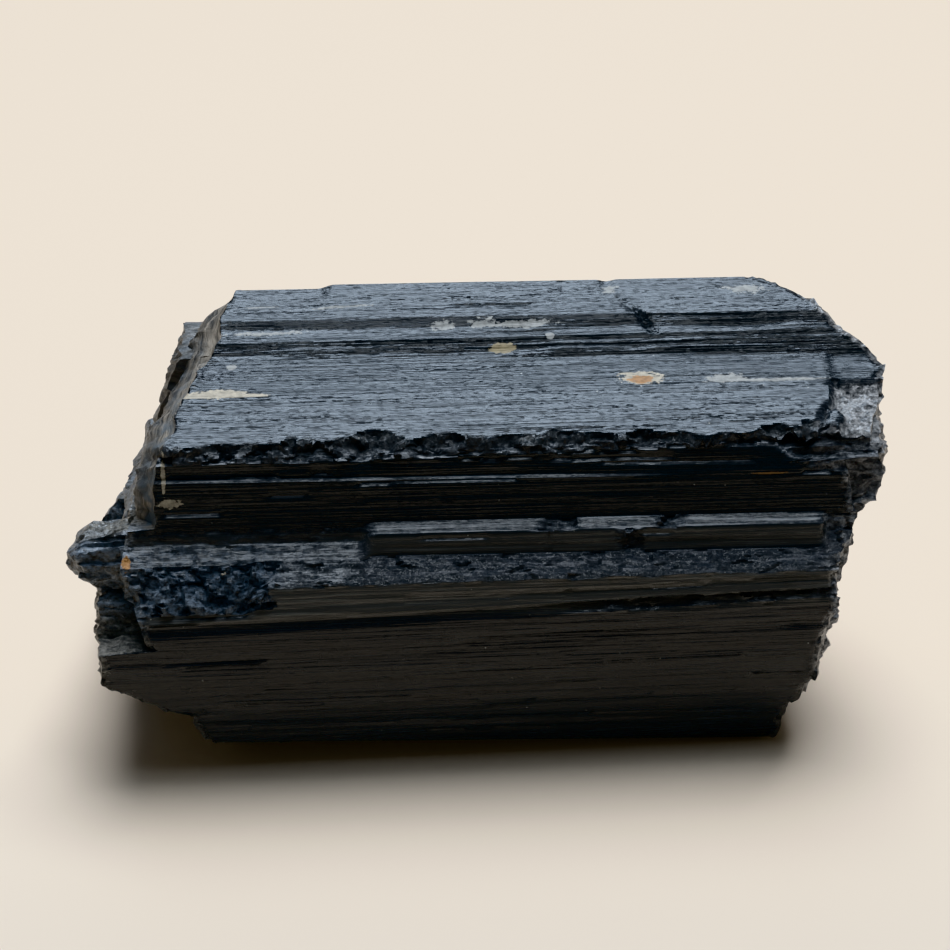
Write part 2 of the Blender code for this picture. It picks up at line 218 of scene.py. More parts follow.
# %% Tables of the broken ends
# Outline, a point in it, X at that point, change of X with Y and with Z, how far the core stands out.
LEFT_COLUMNS = (
    ("core", ((-20, -2), (18, -2), (18, 36), (-20, 36)), (0, 15), -26.6, -0.03, 0.05, 0.4),
    ("back", ((3, 5), (18, 5), (18, 24), (6, 24)), (8, 16), -25.2, 0.2, 0.34, 0.5),
    ("back heel", ((5, -2), (18, -2), (18, 8), (8, 8)), (9, 4), -24.8, 0.1, -0.2, 0.5),
    ("dark column", ((-4, 12), (6, 12), (6.5, 20), (-2, 19)), (0, 16), -28.0, 0.3, 0.3, 0.0),
    ("mid terrace", ((-10, 19), (-4, 17.4), (7, 17.4), (7, 19.4), (1, 20.4), (1, 30), (-9, 28)),
     (-4, 23.6), -24.4, 0.05, 0.46, 0.0),
    ("back column", ((0, 20), (8, 19), (12, 23.5), (5, 28.6), (-1.2, 28.6)), (3, 28), -22.8, 0.1, 0.32, 0.0),
    ("upper slab", ((-18, 21), (-9.5, 21.2), (-6.5, 26), (-1, 28.6), (5, 28.6), (12, 23.5), (18, 23.5),
                    (18, 36), (-18, 36)), (-13, 27.4), -23.4, 0.275, 0.13, 2.3),
    ("lower body", ((-20, 9.8), (-4, 9.2), (-3, 15.2), (-14.5, 15.6), (-15.2, 13.0), (-20, 12.8)),
     (-14, 11.5), -28.75, -0.03, 0.0, 0.3),
    ("front slab", ((-20, 12.8), (-15.2, 13.0), (-14.6, 16.5), (-15.5, 21.2), (-20, 21.2)),
     (-16.5, 17.5), -25.9, -0.1, -0.2, 0.0),
    ("ledge", ((-15.6, 16.4), (-8.4, 15.8), (-8.4, 21.2), (-15.6, 21.2)), (-13, 19), -26.6, 0.05, 0.1, 0.3),
    ("undercut", ((-20, 6.9), (-2, 5.9), (-4, 9.2), (-20, 9.8)), (-16, 8.0), -25.5, 0.05, -1.7, 0.3),
    ("foot", ((-20, -2), (5, -2), (4, 3.9), (-2, 5.9), (-20, 6.9)), (-12, 3.5), -21.5, -0.05, -0.4, 0.4),
)
RIGHT_COLUMNS = (
    ("core", ((-20, -2), (18, -2), (18, 36), (-20, 36)), (0, 15), 25.4, -0.08, 0.06, 0.2),
    ("back", ((5, 8), (18, 8), (18, 26), (4, 26)), (10, 16), 22.6, -0.14, 0.05, 0.6),
    ("back slant", ((-4.9, 20.5), (2, 17), (4.5, 20), (5, 36), (-5.2, 36)), (-5, 28), 30.2, -0.55, 0.06, 0.3),
    ("back top", ((4.5, 20), (13, 22), (12, 36), (4.6, 36)), (8, 27), 20.8, -0.05, 0.1, 0.5),
    ("top block", ((-18, 21.1), (-4.9, 20.5), (-5.2, 36), (-18, 36)), (-6, 27), 30.3, 0.13, 0.05, 0.2),
    ("front face", ((-18, 21.1), (-12.2, 21.1), (-11.6, 25.4), (-18, 25.2)), (-13.4, 23), 26.9, 0.1, -0.08,
     0.0),
    ("edge notch", ((-18, 25.4), (-12.9, 25.8), (-11.6, 26.8), (-8.4, 27.6), (-8.2, 36), (-18, 36)),
     (-10, 28), 29.2, 0.28, 0.1, 0.0),
    ("top slant", ((-6.2, 28.9), (0.6, 29.6), (0.6, 36), (-6.2, 36)), (-3.65, 30.5), 28.25, -0.45, -0.9, 0.0),
    ("top corner", ((0.6, 29.6), (6, 29.6), (6, 36), (0.6, 36)), (0.6, 32.1), 24.9, -1.4, 0.0, 0.0),
    ("middle", ((-12.5, 16.5), (-3, 14), (-1, 19), (-4.9, 20.5), (-12, 21.1)), (-10, 19.5), 28.2, 0.1, 0.25,
     0.0),
    ("ledge", ((-18, 16.6), (-12.5, 16.5), (-12, 21.1), (-18, 21.1)), (-14.5, 19), 27.1, 0.25, 0.1, 0.0),
    ("front slab", ((-20, 12.6), (-14.4, 12.6), (-14.2, 18.9), (-20, 18.9)), (-17, 15), 26.0, 0.15, 0.1, 0.0),
    ("lower front", ((-20, 5.0), (-12.0, 5.0), (-12.0, 12.6), (-20, 12.6)), (-16.5, 9), 24.8, 0.3, 0.25, 0.2),
    ("foot", ((-20, -2), (8, -2), (6, 5.0), (-20, 5.0)), (-13, 2), 23.0, 0.05, 0.2, 0.4),
)
KNOB_CENTRE = (-11.7, 18.0)
KNOB_RADII = (2.7, 2.35)
KNOB_TIP = -30.7
KNOB_DOME = 1.5
SKIN = 2.2
END_ROUGH = 0.55


def is_inside(polygon, y, z):
    """Whether (y, z) lies inside a polygon."""
    inside = False
    for (y0, z0), (y1, z1) in zip(polygon, polygon[1:] + polygon[:1]):
        if (z0 > z) != (z1 > z) and y < y0 + (y1 - y0) * (z - z0) / (z1 - z0):
            inside = not inside
    return inside


def column_at(columns, y, z):
    """The column that (y, z) belongs to."""
    for column in reversed(columns):
        if is_inside(column[1], y, z):
            return column
    return columns[0]


def end_height(columns, y, z, depth=0.0):
    """X of the broken end at (y, z), which lies this deep below the crystal's sides."""
    _, _, (y0, z0), x0, by_y, by_z, core = column_at(columns, y, z)
    height = x0 + by_y * (y - y0) + by_z * (z - z0) + math.copysign(core * float(ramp(depth, 0, SKIN)), x0)
    share = math.hypot((y - KNOB_CENTRE[0]) / KNOB_RADII[0], (z - KNOB_CENTRE[1]) / KNOB_RADII[1])
    share += 0.16 * noise.noise(Vector((y * 0.9, z * 0.9, 2.5)))
    if columns is LEFT_COLUMNS and share < 1:
        height = KNOB_TIP + KNOB_DOME * share ** 4
    rough = noise.noise(Vector((y * 0.32, z * 0.32, x0)))
    rough += 0.5 * noise.noise(Vector((y * 0.8, z * 0.8, x0 + 9)))
    return height - math.copysign(END_ROUGH * (0.5 + rough), x0)


print("left end at the middle:", round(end_height(LEFT_COLUMNS, 0, 15), 2))

# %% [markdown]
# ## Points of the sides
# Every line of the outline runs from its own left end to its own right end. Between them the rows are
# the same for all lines, so that chips and cracks keep their place. The places are worked out for all
# rows and lines at once with numpy arrays, which takes a second where a loop takes minutes.

# %% Rows along the crystal
ROOTS = (-17.0, 19.5)
ROWS = (34, 126, 30)


def line_points(x):
    """(y, z) of every line where it has the given X, before the relief."""
    face = np.broadcast_to(line_face, x.shape)
    y0, z0 = corner_at(face, x)
    y1, z1 = corner_at((face + 1) % TURNS, x)
    return y0 + (y1 - y0) * line_share, z0 + (z1 - z0) * line_share


line_ends = []
for columns, root in zip((LEFT_COLUMNS, RIGHT_COLUMNS), ROOTS):
    reach = np.full(LINES, root)
    for _ in range(2):
        reach = np.array([end_height(columns, a, b) for a, b in zip(*line_points(reach))])
    line_ends.append(reach)
steps = [np.linspace(line_ends[0], ROOTS[0], ROWS[0], endpoint=False),
         np.linspace(np.full(LINES, ROOTS[0]), ROOTS[1], ROWS[1], endpoint=False),
         np.linspace(np.full(LINES, ROOTS[1]), line_ends[1], ROWS[2])]
side_x = np.concatenate(steps)
side_y, side_z = line_points(side_x)
print("rows and lines:", side_x.shape)

# %% [markdown]
# ## Chips
# The upper front edge is chipped all along. A chip is carved, and not made by moving the edge: where it
# bites, the height of a point is cut down to a sagging chord between the chip's lip and the foot of the
# band below. So the ridges beside a chip stay straight.

# %% Carve the chips out of the front edge
def on_face(*names):
    """Whether each line lies on one of the faces that start at the named corners."""
    return np.isin(line_face, [NAMES.index(name) for name in names])


def chord(y, y0, z0, y1, z1, sag):
    """Height of a sagging line from (y0, z0) to (y1, z1) at y."""
    t = np.clip((y - y0) / (y1 - y0), 0, 1)
    return z0 + (z1 - z0) * t - sag * 4 * t * (1 - t)


edge_chip = np.maximum(0, sum(d * hump(side_x, m, h) for m, h, d in EDGE_CHIPS))
edge_chip += np.maximum(0, 0.15 + 0.30 * wobble(side_x, 3.1, 2.4) + 0.30 * wobble(side_x, 8.7, 0.9)
                        + 0.16 * wobble(side_x, 5.7, 0.35))
edge_y, edge_z = corner_at(np.full(side_x.shape, NAMES.index("top front edge")), side_x)
foot_y, foot_z = corner_at(np.full(side_x.shape, NAMES.index("chipped band foot")), side_x)
lip_y, lip_z = edge_y + edge_chip, edge_z + 0.27 * edge_chip
carved = chord(side_y, foot_y, foot_z, lip_y, lip_z, 0.03 + 0.12 * edge_chip)
upper = on_face("chipped band foot", "top front edge") & (side_y < lip_y)
cut = upper * ramp(side_z - carved, 0.0, 0.12)
side_z = np.where(upper, np.minimum(side_z, carved), side_z)
print("carved points:", int((cut > 0.5).sum()))

# %% [markdown]
# ## The broken corner, and cracks
# At the right end a slab has come off the sloping face, which left a sunken, lumpy corner with a ragged
# border, and small stairs on the front below it. Cracks are short polylines drawn on the faces: a point
# sinks the more the closer it lies to one.

# %% Sink the corner and open the cracks
def sampled(function, *arrays):
    """A function of single numbers, run over arrays of one shape."""
    values = [function(*numbers) for numbers in zip(*(array.ravel() for array in arrays))]
    return np.array(values).reshape(arrays[0].shape)


ragged = sampled(lambda y, z: noise.noise(Vector((y * 0.8, z * 0.8, 1.0))), side_y, side_z)
share_2d = np.broadcast_to(line_share, side_x.shape)
corner_sunk = on_face("top front edge") * 0.70 * ramp(side_x, 25.7 + 0.9 * ragged, 0.6)
corner_sunk = corner_sunk * ramp(1 - share_2d, 0.0, 0.22)
corner_sunk += on_face("chipped band foot") * 0.5 * ramp(side_x, 24.6 + 0.6 * ragged, 0.6)
facet_sunk = on_face("seam", "crease") * ramp(side_x, 26.2, 0.3) * 0.10
side_z = side_z - corner_sunk - facet_sunk
stairs = on_face("hairline back", "chipped band foot") * ramp(side_x, 20.9 + 1.2 * (26.8 - side_z), 0.4)
side_y = side_y + stairs * 0.30 * ((side_z > 25.55).astype(float) + (side_z > 26.35))
# Faces, axis across, points of the crack as (X, y) or (X, z), half its width, depth.
CRACKS = (
    (("upper tread", "upper riser"), "y", ((10.8, 0.8), (11.7, -0.4), (12.5, -1.3)), 0.30, 0.18),
    (("upper tread", "upper riser", "lower tread"), "y",
     ((11.9, -0.2), (12.6, -1.6), (13.4, -2.9)), 0.32, 0.24),
    (("seam",), "y", ((26.5, -4.3), (26.1, -6.2), (26.25, -8.0)), 0.22, 0.07),
    (("top front edge",), "y", ((26.2, -8.0), (25.9, -10.1), (25.0, -11.3), (24.4, -13.2)), 0.40, 0.34),
    (("wide ledge", "strip edge"), "z", ((4.6, 19.0), (4.7, 21.2)), 0.25, 0.12),
)


def gap_to_path(x, across, path):
    """How far each point lies from a polyline."""
    nearest = np.full(x.shape, 99.0)
    for (x0, a0), (x1, a1) in zip(path, path[1:]):
        run, rise = x1 - x0, a1 - a0
        share = np.clip(((x - x0) * run + (across - a0) * rise) / (run * run + rise * rise), 0, 1)
        nearest = np.minimum(nearest, np.hypot(x - x0 - share * run, across - a0 - share * rise))
    return nearest


crack_relief = np.zeros(side_x.shape)
shiver = 0.12 * sampled(lambda x, y, z: noise.noise(Vector((x, y, z)) * 2.4), side_x, side_y, side_z)
for faces, axis, path, half, depth in CRACKS:
    gap = gap_to_path(side_x + shiver, (side_y if axis == "y" else side_z) + shiver, path)
    crack_relief -= on_face(*faces) * depth * np.clip(1 - gap / half, 0, 1)
print("deepest crack:", float(crack_relief.min()))

# %% [markdown]
# ## Which places are broken
# Grown faces and broken ones differ in shape and in finish. So a mask from 0 to 1 is kept for every
# point: relief below mixes ridges and crumbs by it, and the stone's material reads it too.

# %% The mask of broken places
def patch(where, start, end, soft=1.0):
    """A mask over some faces between two X values, with a ragged border."""
    place = side_x + 0.7 * ragged
    return where * ramp(place, start - soft / 2, soft) * (1 - ramp(place, end - soft / 2, soft))


pitted = (patch(on_face("groove top"), -40, -15.6) * ramp(share_2d, 0.30 + 0.25 * ragged, 0.1)
          + patch(on_face("front brow"), -40, -15.2))
tip = np.minimum(np.abs(side_x - line_ends[0]), np.abs(side_x - line_ends[1]))
near_rim = (1 - ramp(tip, 0.1, 0.6)) * ((side_x > 0) | (side_z < 21)) * 0.6
broken = np.clip(
    patch(on_face("chipped band foot"), -40, 40) + cut + pitted
    + patch(on_face("front brow"), -40, 40) * 0.5
    + patch(on_face("wide ledge", "strip edge"), -40, -9.6, 2.0) * 0.26
    + patch(on_face("strip edge"), 4.0, 6.6) * 0.8 + patch(on_face("strip edge"), 12.2, 14.6) * 0.8
    + patch(on_face("wide ledge"), 9.8, 11.4) * 0.7
    + ramp(corner_sunk, 0.1, 0.3) + stairs * on_face("hairline back", "chipped band foot") * 0.6
    + ramp(-crack_relief, 0.15, 0.2) * 0.6
    + patch(on_face("groove foot", "groove bottom"), 8.0, 40) * 0.4
    + patch(on_face("base rise", "base back", "under slope"), -40, 40) * 0.5
    + on_face("wide ledge", "strip edge", "front brow", "groove bottom") * ramp(side_x, 24.5, 1.0)
    + near_rim,
    0, 1)
print("broken share of the sides:", round(float(broken.mean()), 3))

# %% [markdown]
# ## Steps along the faces
# A striated face is a flight of tiny steps. Each step here is a line along X of its own length: the face
# drops at the line and climbs back over the next half millimetre, which draws one dark and one bright
# thread. Most lie at random, and the long ledges of the front have their own table. Noise alone would
# give waves, and a crystal has flat treads with sharp edges.

# %% Steps along the faces
STEP_SEED = 11
# Steps for each millimetre of a face's width, and how deep they are; the last line is for other faces.
STEPS = {"top front edge": (2.8, 0.045), "seam": (1.8, 0.05), "lower riser": (5.0, 0.06),
         "upper riser": (5.0, 0.06), "lower tread": (3.0, 0.08), "upper tread": (2.4, 0.06),
         "strip back": (1.4, 0.05), "hairline back": (3.0, 0.07), "strip edge": (2.5, 0.05),
         "wide ledge": (2.2, 0.07), "front brow": (2.5, 0.07), "groove foot": (3.0, 0.06),
         "front bulge": (1.5, 0.13), "low ledge": (1.8, 0.13), "base front": (1.6, 0.11), "": (1.1, 0.08)}
# Ledges on the front: height at the start and at the end, X from and to, depth. A positive depth is cut
# in above the line and catches the light, a negative one is cut in below it and stays dark.
LEDGES = (
    (25.1, 25.05, -23.0, -14.8, 0.22), (25.16, 25.14, -12.8, -11.0, 0.22), (24.45, 24.5, -9.4, 2.6, 0.2),
    (26.4, 26.3, 5.1, 11.3, 0.18), (25.85, 25.75, 4.6, 14.0, 0.18), (25.5, 25.4, 8.0, 20.0, 0.15),
    (22.15, 22.2, -23.6, -18.9, 0.22), (26.0, 26.0, -2.0, 4.0, 0.15), (25.55, 25.45, 22.8, 26.6, 0.3),
    (24.35, 24.25, 23.0, 25.6, 0.3), (26.5, 26.45, 21.2, 23.2, 0.3), (23.5, 23.5, -16.0, -12.5, 0.14),
    (20.0, 20.0, 9.0, 14.0, 0.13), (20.2, 20.2, -5.0, 0.5, 0.12), (15.1, 15.2, 11.0, 15.5, 0.16),
    (11.5, 11.52, -22.8, -16.0, -0.14), (9.26, 9.3, -22.5, -14.0, -0.14), (9.24, 10.38, -16.8, 11.5, -0.17),
    (10.38, 10.37, 11.3, 24.6, -0.18), (6.96, 6.9, -21.2, -0.4, -0.22), (6.69, 6.72, 3.0, 15.0, -0.2),
    (6.72, 6.97, 14.0, 24.7, -0.22), (6.3, 5.96, 0.0, 17.2, -0.15), (8.55, 8.3, 19.6, 24.2, -0.24),
    (16.85, 17.25, 5.3, 25.2, -0.1), (16.76, 16.83, -6.3, 15.6, -0.09), (12.68, 12.57, -6.4, 8.4, -0.08),
    (12.14, 12.03, -13.7, 1.0, -0.08), (4.6, 4.4, -18.0, 20.0, -0.13), (3.3, 3.2, -15.0, 12.0, -0.11),
    (13.6, 13.55, 4.0, 24.0, -0.08), (8.1, 8.4, -12.0, 9.0, -0.1), (23.0, 22.9, -20.0, 8.0, -0.05),
)


def step_relief():
    """Height of all the steps, for every point of the sides."""
    rng = random.Random(STEP_SEED)
    height = np.zeros(side_x.shape)
    for face, name in enumerate(NAMES):
        lines = np.flatnonzero(line_face == face)
        across, x = line_share[lines] * widths[face], side_x[:, lines]
        often, deep = STEPS.get(name, STEPS[""])
        for _ in range(round(often * widths[face])):
            at, drift = rng.uniform(0, widths[face]), rng.uniform(-0.012, 0.012)
            middle, half = rng.uniform(-28, 28), rng.choice((4, 8, 14, 40)) * rng.uniform(0.6, 1.2)
            depth, reach = deep * rng.uniform(0.3, 1.2), rng.uniform(0.3, 0.9)
            up = rng.choice((-1, -1, 1))
            gap = up * (across[None, :] - at - drift * (x - middle))
            fade = np.clip((half - np.abs(x - middle)) / 1.5, 0, 1)
            height[:, lines] -= fade * depth * np.where(gap > 0, np.exp(-np.maximum(gap, 0) / reach), 0)
    return height


def ledge_relief():
    """Height of the ledges on the front."""
    height = np.zeros(side_x.shape)
    for z0, z1, start, end, depth in LEDGES:
        fade = (side_y < -12.5) * ramp(side_x, start, 0.5) * (1 - ramp(side_x, end - 0.5, 0.5))
        share = np.clip((side_x - start) / (end - start), 0, 1)
        gap = math.copysign(1, depth) * (side_z - z0 - (z1 - z0) * share)
        height -= fade * abs(depth) * np.where(gap > 0, np.exp(-np.maximum(gap, 0) / 0.55), 0)
    return height


step_height = step_relief()
ledge_height = ledge_relief()
print("deepest step:", round(float(step_height.min()), 2), "mm")

# %% [markdown]
# ## Crumbs
# Tourmaline has no plane that it likes to split along, so it breaks into crumbs. They are made from
# noise for the lumps, and from small flat facets, each tilted its own way, which are the cells of a
# Voronoi pattern. Steps and crumbs then push the surface in or out along its normal.

# %% Crumbs on the broken places
def facets(place, size, tilt):
    """Height of a surface of small flat facets, each tilted its own way."""
    scaled = place / size
    near = noise.voronoi(scaled)[1][0]
    way = noise.cell_vector(near * 37.0) - Vector((0.5, 0.5, 0.5))
    return tilt * size * (scaled - near).dot(way)


def crumble(x, y, z, fine=1.0):
    """Crumbly relief: lumps of a few millimetres, with facets of a millimetre and less on them."""
    place = Vector((x * 0.85, y, z))
    lump = 0.24 * noise.fractal(place * 0.45, 0.9, 2.1, 3)
    return lump + fine * (facets(place, 1.3, 0.9) + facets(place, 0.6, 0.8))


crumb_height = np.zeros(side_x.shape)
rough_spots = broken > 0.02
crumb_height[rough_spots] = sampled(crumble, side_x[rough_spots], side_y[rough_spots], side_z[rough_spots])
crumb_height = crumb_height * (1 + 0.9 * np.clip(pitted, 0, 1)) * (1 - 0.5 * (corner_sunk > 0.2)) - 0.05
flat = line_face == NAMES.index("base flat back")
relief = step_height * (1 - broken) * ramp(tip, 0.0, 1.0) + crumb_height * broken
relief = np.where(flat, 0, relief + crack_relief + ledge_height)
way_y = np.roll(side_y, -2, axis=1) - np.roll(side_y, 2, axis=1)
way_z = np.roll(side_z, -2, axis=1) - np.roll(side_z, 2, axis=1)
way = np.maximum(1e-6, np.hypot(way_y, way_z))
side_y = side_y - way_z / way * relief
side_z = np.maximum(side_z + way_y / way * relief, 0.0)
print("relief from", round(float(relief.min()), 2), "to", round(float(relief.max()), 2), "mm")

# %% [markdown]
# ## The broken ends
# Each end is closed by a sheet over the outline's last row. Its inner points stand on a square grid, with
# pairs of points along the walls between columns, so that a wall is steep and clean. A Delaunay
# triangulation joins them, and the table of columns lifts each point to where its column broke.

# %% Close both ends
END_GRID = 0.34
RIM_GAP = 0.5
WALL_INSET = 0.06
HUSKS = ("upper slab", "back column", "mid terrace")


def gap_to(ring, y, z):
    """How far (y, z) lies from a closed ring of points."""
    step = np.roll(ring, -1, axis=0) - ring
    away = np.array([y, z]) - ring
    share = np.clip((away * step).sum(axis=1) / (step * step).sum(axis=1), 0, 1)
    return float(np.hypot(*(away - step * share[:, None]).T).min())


def wall_points(columns):
    """Pairs of points along the walls between columns that end apart, one on each side."""
    pairs = []
    for _, polygon, *_ in columns:
        for (y0, z0), (y1, z1) in zip(polygon, polygon[1:] + polygon[:1]):
            length = math.hypot(y1 - y0, z1 - z0)
            off_y, off_z = WALL_INSET * (z1 - z0) / length, WALL_INSET * (y0 - y1) / length
            count = max(1, round(length / END_GRID))
            for i in range(count):
                y = y0 + (y1 - y0) * (i + 0.5) / count
                z = z0 + (z1 - z0) * (i + 0.5) / count
                near, far = (y + off_y, z + off_z), (y - off_y, z - off_z)
                if column_at(columns, *near) is not column_at(columns, *far):
                    pairs += [near, far]
    return pairs


def splinters(y, z):
    """Relief of a break across the columns: thin columns that stop at random heights."""
    tall = noise.cell(Vector((y * 0.9 + 0.3 * noise.noise(Vector((y, z, 3))), z * 0.9, 1.5)))
    thin = noise.cell(Vector((y * 2.3, z * 2.3 + 0.4 * noise.noise(Vector((y, z, 7))), 4.5)))
    return 0.22 * tall + 0.08 * thin


def in_ring(ring, y, z):
    """Whether (y, z) lies inside a long ring of points."""
    after = np.roll(ring, -1, axis=0)
    crosses = (ring[:, 1] > z) != (after[:, 1] > z)
    (y0, z0), (y1, z1) = ring[crosses].T, after[crosses].T
    return np.count_nonzero(y < y0 + (y1 - y0) * (z - z0) / (z1 - z0)) % 2 == 1


def end_cap(columns, rim):
    """Points, their depth below the rim, whether each is husk, and triangles; the rim comes first."""
    flat = [(y, z) for _, y, z in rim]
    ring = np.array(flat)
    walls = wall_points(columns)
    wall_cells = {(round(y / END_GRID), round(z / END_GRID)) for y, z in walls}
    grid = [(y, z) for y in np.arange(-20, 18, END_GRID) for z in np.arange(0.1, 35, END_GRID)
            if (round(y / END_GRID), round(z / END_GRID)) not in wall_cells]
    inner = [spot for spot in walls + grid
             if in_ring(ring, *spot) and gap_to(ring, *spot) > END_GRID * RIM_GAP]
    both = [Vector(spot) for spot in flat + inner]
    found, _, faces, sources, *_ = geometry.delaunay_2d_cdt(both, [], [list(range(len(flat)))], 1, 1e-5)
    points, depths, husks = [], [], []
    for (y, z), source in zip(found, sources):
        first = min(source) if source else len(flat)
        depth = 0.0 if first < len(flat) else gap_to(ring, y, z)
        if first < len(flat):
            points.append(rim[first])
        else:
            height = end_height(columns, y, z, depth)
            fade = float(ramp(depth, 0.1, 0.8))
            points.append((height - math.copysign(splinters(y, z) * fade, height), y, z))
        depths.append(depth)
        husks.append(float(column_at(columns, y, z)[0] in HUSKS))
    return points, depths, husks, faces


sides = np.stack([side_x, side_y, side_z], axis=-1)
caps = [end_cap(LEFT_COLUMNS, sides[0].tolist()), end_cap(RIGHT_COLUMNS, sides[-1].tolist())]
print("end points:", [len(cap[0]) for cap in caps])

# %% [markdown]
# ## One closed mesh
# The sides are quads between neighbouring lines and rows, and the two ends share their rim's points with
# the sides. The crystal is moved so that the middle of its box stands over the origin, where the solid
# has it. Sharp edges are marked by angle, so that treads and facets stay crisp under smooth shading.

# %% Build the crystal
MIDDLE = (-0.194, -1.235)
LONG_EDGE = 0.75


def raw_mesh():
    """The sides and both ends as one mesh in millimetres, with its masks."""
    rows, lines = side_x.shape
    points = sides.reshape(-1, 3).tolist()
    start = np.arange((rows - 1) * lines).reshape(rows - 1, lines)
    beside = np.roll(start, -1, axis=1)
    faces = np.stack([start, start + lines, beside + lines, beside], axis=-1).reshape(-1, 4).tolist()
    none = [0.0] * len(points)
    masks = {"broken": broken.ravel().tolist(), "depth": list(none), "husk": list(none)}
    crumbly = (1 - ramp(tip, 0.0, 0.9)).ravel().tolist()
    for side, (cap_points, depths, husks, cap_faces) in enumerate(caps):
        first, added = side * (rows - 1) * lines, len(cap_points) - lines
        names = list(range(first, first + lines)) + list(range(len(points), len(points) + added))
        points += cap_points[lines:]
        masks["broken"] += [1.0] * added
        masks["depth"] += depths[lines:]
        masks["husk"] += [husk * (1 - side) for husk in husks[lines:]]
        crumbly += [1.0] * added
        for i in range(lines):
            masks["husk"][first + i] = husks[i] * (1 - side)
        for face in cap_faces:
            corners = [names[v] for v in face]
            faces.append(corners if side else corners[::-1])
    mesh = bpy.data.meshes.new("crystal")
    mesh.from_pydata(points, [], faces, shade_flat=False)
    for name, values in dict(masks, crumbly=crumbly).items():
        mesh.attributes.new(name, "FLOAT", "POINT").data.foreach_set("value", values)
    return mesh


def crystal_mesh():
    mesh = raw_mesh()
    shape = bmesh.new()
    shape.from_mesh(mesh)
    depth, crumbly = (shape.verts.layers.float[name] for name in ("depth", "crumbly"))
    husk = shape.verts.layers.float["husk"]
    for _ in range(2):
        long_edges = [e for e in shape.edges
                      if e.calc_length() > LONG_EDGE and max(v[depth] for v in e.verts) > 0]
        bmesh.ops.subdivide_edges(shape, edges=long_edges, cuts=1)
        bmesh.ops.triangulate(shape, faces=[f for f in shape.faces if len(f.verts) > 4])
    shape.normal_update()
    crumbled = [(v, crumble(*v.co, fine=min(1.0, 0.12 + v[depth]))) for v in shape.verts if v[crumbly] > 0.01]
    for v, height in crumbled:
        v.co += v.normal * (height * v[crumbly] * (0.8 - 0.5 * v[husk]))
    for v in shape.verts:
        v.co = Vector((v.co.x - MIDDLE[0], v.co.y - MIDDLE[1], max(v.co.z, 0.0))) * MM
    shape.to_mesh(mesh)
    shape.free()
    mesh.attributes.remove(mesh.attributes["crumbly"])
    mesh.set_sharp_from_angle(angle=math.radians(38))
    return mesh


crystal = bpy.data.objects.new("crystal", crystal_mesh())
bpy.context.collection.objects.link(crystal)
triangles = sum(len(p.vertices) - 2 for p in crystal.data.polygons)
print("triangles:", triangles)
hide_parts("tourmaline_crystal")
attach(crystal, "root")

# %% [markdown]
# ## Writing a material as sums
# A material is a graph of nodes, and a long list of links is hard to read. The small class below wraps
# one output of a node. Plus, minus, times and divide on it add Math nodes, so a recipe for the surface
# reads like the formula that it is. Every other node comes from its one method.

# %% A socket that can be used in formulas
class Field:
    """One output of a shader node."""
    tree = None

    def __init__(self, socket):
        self.socket = socket

    @staticmethod
    def node(kind, settings=None, inputs=None, output=0):
        """A new node: its type, its settings, the values or links of its inputs, and which output."""
        made = Field.tree.nodes.new(kind)
        for name, value in (settings or {}).items():
            setattr(made, name, value)
        for name, value in (inputs or {}).items():
            if isinstance(value, Field):
                Field.tree.links.new(value.socket, made.inputs[name])
            else:
                made.inputs[name].default_value = value
        return Field(made.outputs[output])

    def beside(self, name):
        """Another output of the same node."""
        return Field(self.socket.node.outputs[name])

    def part(self, axis):
        """X, Y or Z of a vector."""
        return Field.node("ShaderNodeSeparateXYZ", None, {0: self}, axis)

    def math(self, operation, *others, clamp=False):
        values = dict(enumerate((self,) + others))
        return Field.node("ShaderNodeMath", {"operation": operation, "use_clamp": clamp}, values)

    def __add__(self, other):
        return self.math("ADD", other)

    def __sub__(self, other):
        return self.math("SUBTRACT", other)

    def __mul__(self, other):
        return self.math("MULTIPLY", other)

    def __truediv__(self, other):
        return self.math("DIVIDE", other)

    def __rsub__(self, other):
        return Field.node("ShaderNodeMath", {"operation": "SUBTRACT"}, {0: other, 1: self})

    __radd__ = __add__
    __rmul__ = __mul__


def blend(share, first, second):
    """A colour between two colours."""
    return Field.node("ShaderNodeMix", {"data_type": "RGBA"}, {0: share, 6: first, 7: second}, 2)


def vector_math(operation, *inputs, output=0):
    """A Vector Math node."""
    return Field.node("ShaderNodeVectorMath", {"operation": operation}, dict(enumerate(inputs)), output)


def between(value, low, high):
    """0 below low, 1 above high, straight between."""
    return Field.node("ShaderNodeMapRange", {"clamp": True}, {0: value, 1: low, 2: high, 3: 0.0, 4: 1.0})


# %% [markdown]
# ## Patterns of the stone
# Schorl is nearly black and glassy, but its faces are so finely ridged that they shine like brushed
# satin. The ridges are noise that is stretched along X, and satin scales and crumbs are the cells of a
# Voronoi pattern, each tilted its own way. Pictures laid on would need unwrapping and would blur close
# up, while these patterns fill the stone and stay sharp.

# %% Patterns in millimetres
def place_in_mm():
    """Where a point lies in the millimetres of the tables above."""
    own = Field.node("ShaderNodeTexCoord", output="Object")
    return vector_math("MULTIPLY_ADD", own, (1000, 1000, 1000), (MIDDLE[0], MIDDLE[1], 0))


def cells(pitch, factor):
    """How many cells of a pattern lie in a millimetre along X, Y and Z."""
    return 1 / (pitch * factor), 1 / pitch, 1 / pitch


def drawn_out(place, pitch, factor, seed):
    """Coordinates in which a pattern has this pitch across X and is longer by a factor along X."""
    return vector_math("MULTIPLY_ADD", place, cells(pitch, factor), (seed, seed, seed))


def cloudy(place, pitch, factor=1.0, seed=0.0, detail=3.0, rough=0.6):
    """Noise from 0 to 1, with 0.5 in the middle."""
    return Field.node("ShaderNodeTexNoise", None,
                      {"Vector": drawn_out(place, pitch, factor, seed), "Scale": 1.0, "Detail": detail,
                       "Roughness": rough})


